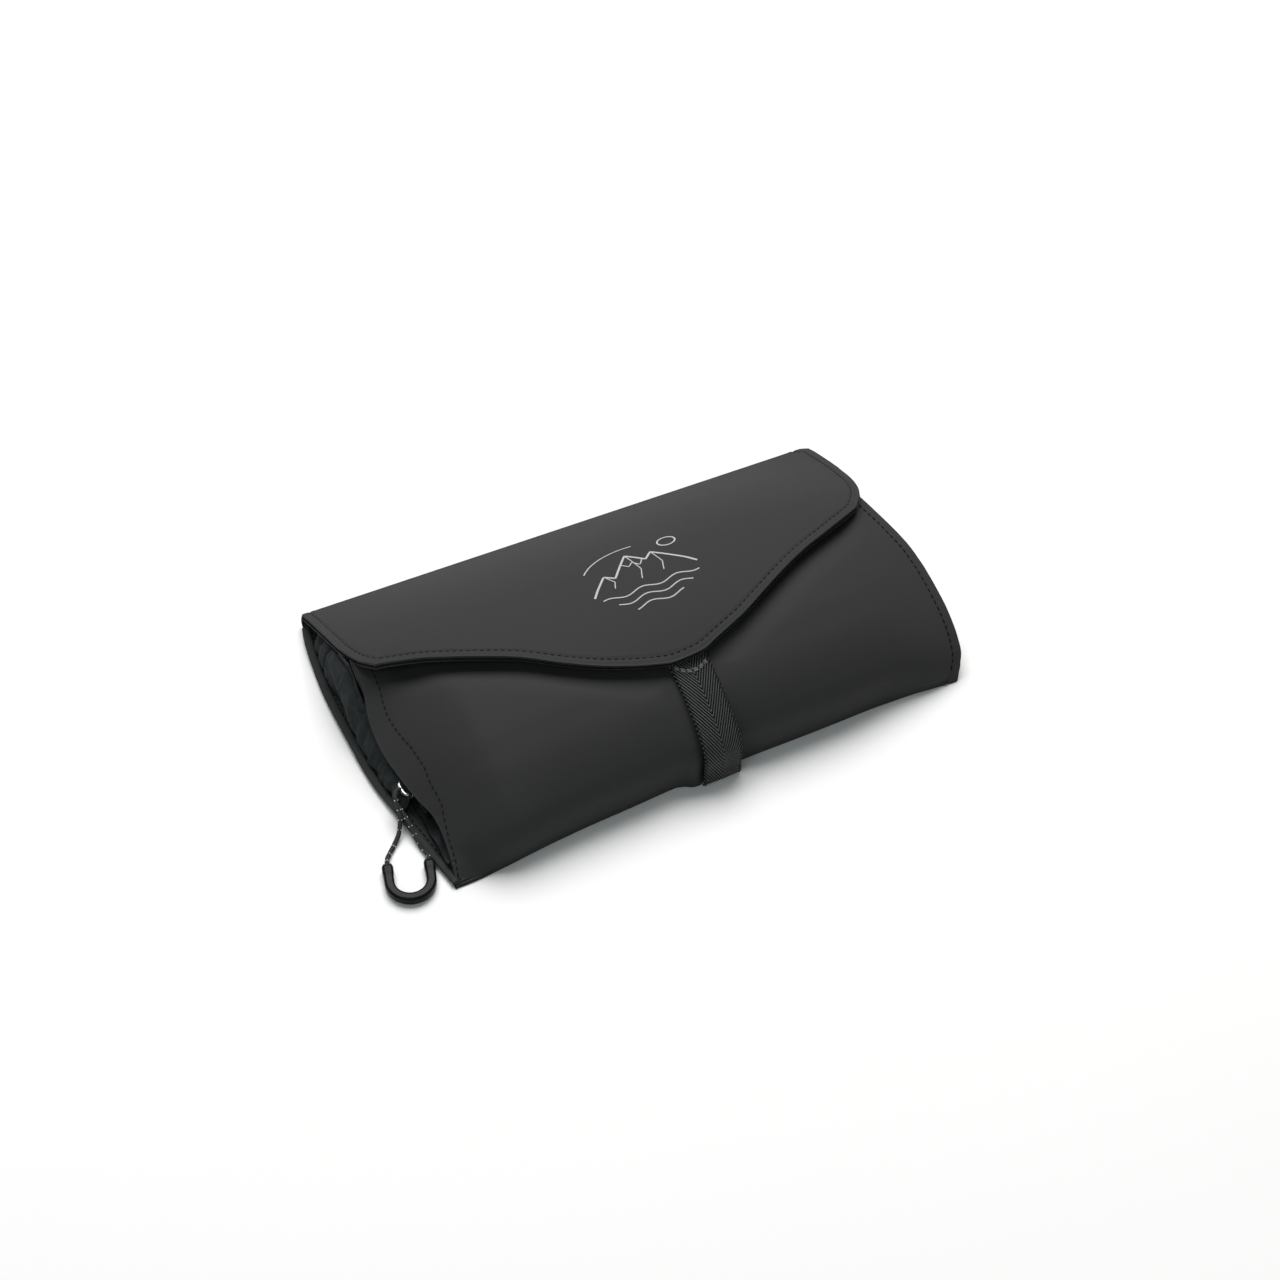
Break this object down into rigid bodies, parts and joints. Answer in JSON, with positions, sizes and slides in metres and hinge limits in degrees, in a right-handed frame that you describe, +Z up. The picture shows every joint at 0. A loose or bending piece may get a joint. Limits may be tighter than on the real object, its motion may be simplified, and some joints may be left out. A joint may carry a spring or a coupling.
{
  "type": "hanging toiletry bag",
  "caption": "Rolled-up hanging toiletry bag with zipped mesh pouches, an envelope flap held by a strap, a zip pull on a cord and a stowed hook.",
  "frame": {"origin": "on the table, under the middle of the base panel's underside", "axes": "+X along the bag's length, -Y towards the side where the strap comes down, +Z up"},
  "size_m": [0.2682, 0.164, 0.0518],
  "materials": {
    "coated_fabric": "coated plain-weave fabric, faint satin sheen, charcoal",
    "lining_fabric": "thin crinkled nylon, charcoal",
    "binding": "stitched fabric hem, charcoal",
    "mesh_fabric": "knitted mesh, black",
    "webbing": "herringbone webbing, charcoal",
    "touch_fastener": "hook and loop tape, black",
    "zip_tape": "woven zip tape, black",
    "zip_coil": "nylon zip coil, black",
    "slider_metal": "bright nickel plating",
    "cord": "braided cord, black with light flecks",
    "moulded_plastic": "glossy moulded plastic, black"
  },
  "bodies": {
    "base": {"base_shell": "coated_fabric", "base_lining": "lining_fabric", "base_binding_left": "binding", "base_binding_right": "binding", "upper_gusset": "lining_fabric", "upper_face": "lining_fabric", "upper_mesh": "mesh_fabric", "upper_top_strip": "lining_fabric", "upper_zip_tape_front": "zip_tape", "upper_zip_tape_rear": "zip_tape", "upper_zip_coil": "zip_coil", "hook_tab": "webbing"},
    "flap": {"flap_rear_panel": "coated_fabric", "flap_rear_lining": "lining_fabric"},
    "flap_tip": {"flap_tip_panel": "coated_fabric", "flap_tip_lining": "lining_fabric", "strap_anchor": "webbing"},
    "strap": {"strap_webbing": "webbing", "strap_hook_patch": "touch_fastener"},
    "front_wall": {"front_wall_shell": "coated_fabric", "front_wall_lining": "lining_fabric", "strap_loop_patch": "touch_fastener"},
    "front_top": {"front_top_shell": "coated_fabric", "front_top_lining": "lining_fabric", "lower_gusset": "lining_fabric", "lower_face": "lining_fabric", "lower_mesh": "mesh_fabric", "lower_zip_tape_upper": "zip_tape", "lower_zip_tape_lower": "zip_tape", "lower_zip_coil": "zip_coil"},
    "hook": {"hanging_hook": "moulded_plastic"},
    "upper_slider": {"upper_slider": "slider_metal", "upper_slider_bridge": "slider_metal", "upper_slider_tab": "slider_metal"},
    "lower_slider": {"lower_slider": "slider_metal", "lower_slider_bridge": "slider_metal"},
    "pull": {"pull_cord": "cord", "pull_end": "moulded_plastic"}
  },
  "joints": [
    {"name": "flap_fold", "type": "hinge", "parent": "base", "child": "flap", "pos_m": [0, 0.077, 0.006], "axis": [-1, 0, 0], "range_deg": [0, 145]},
    {"name": "flap_bend", "type": "hinge", "parent": "flap", "child": "flap_tip", "pos_m": [0, 0, 0.0503], "axis": [-1, 0, 0], "range_deg": [0, 44]},
    {"name": "strap_peel", "type": "hinge", "parent": "flap_tip", "child": "strap", "pos_m": [0, -0.0506, 0.0435], "axis": [-1, 0, 0], "range_deg": [0, 75]},
    {"name": "front_fold", "type": "hinge", "parent": "base", "child": "front_wall", "pos_m": [0, -0.076, 0.009], "axis": [1, 0, 0], "range_deg": [0, 109]},
    {"name": "front_bend", "type": "hinge", "parent": "front_wall", "child": "front_top", "pos_m": [0, -0.05, 0.042], "axis": [1, 0, 0], "range_deg": [0, 73]},
    {"name": "hook_turn", "type": "hinge", "parent": "base", "child": "hook", "pos_m": [0, 0.06, 0.008], "axis": [-1, 0, 0], "range_deg": [0, 145]},
    {"name": "upper_zip", "type": "slide", "parent": "base", "child": "upper_slider", "axis": [1, 0, 0], "range_m": [0, 0.18]},
    {"name": "lower_zip", "type": "slide", "parent": "front_top", "child": "lower_slider", "axis": [0, 1, 0], "range_m": [0, 0.039]},
    {"name": "pull_swing", "type": "hinge", "parent": "lower_slider", "child": "pull", "pos_m": [-0.12385, -0.031, 0.01], "axis": [0, 1, 0], "range_deg": [0, 90]}
  ],
  "couplings": [
    {"joint": "flap_bend", "follows": "flap_fold", "ratio": 0.3},
    {"joint": "front_fold", "follows": "flap_fold", "ratio": 0.745},
    {"joint": "front_bend", "follows": "flap_fold", "ratio": 0.5},
    {"joint": "hook_turn", "follows": "flap_fold", "ratio": 1}
  ]
}
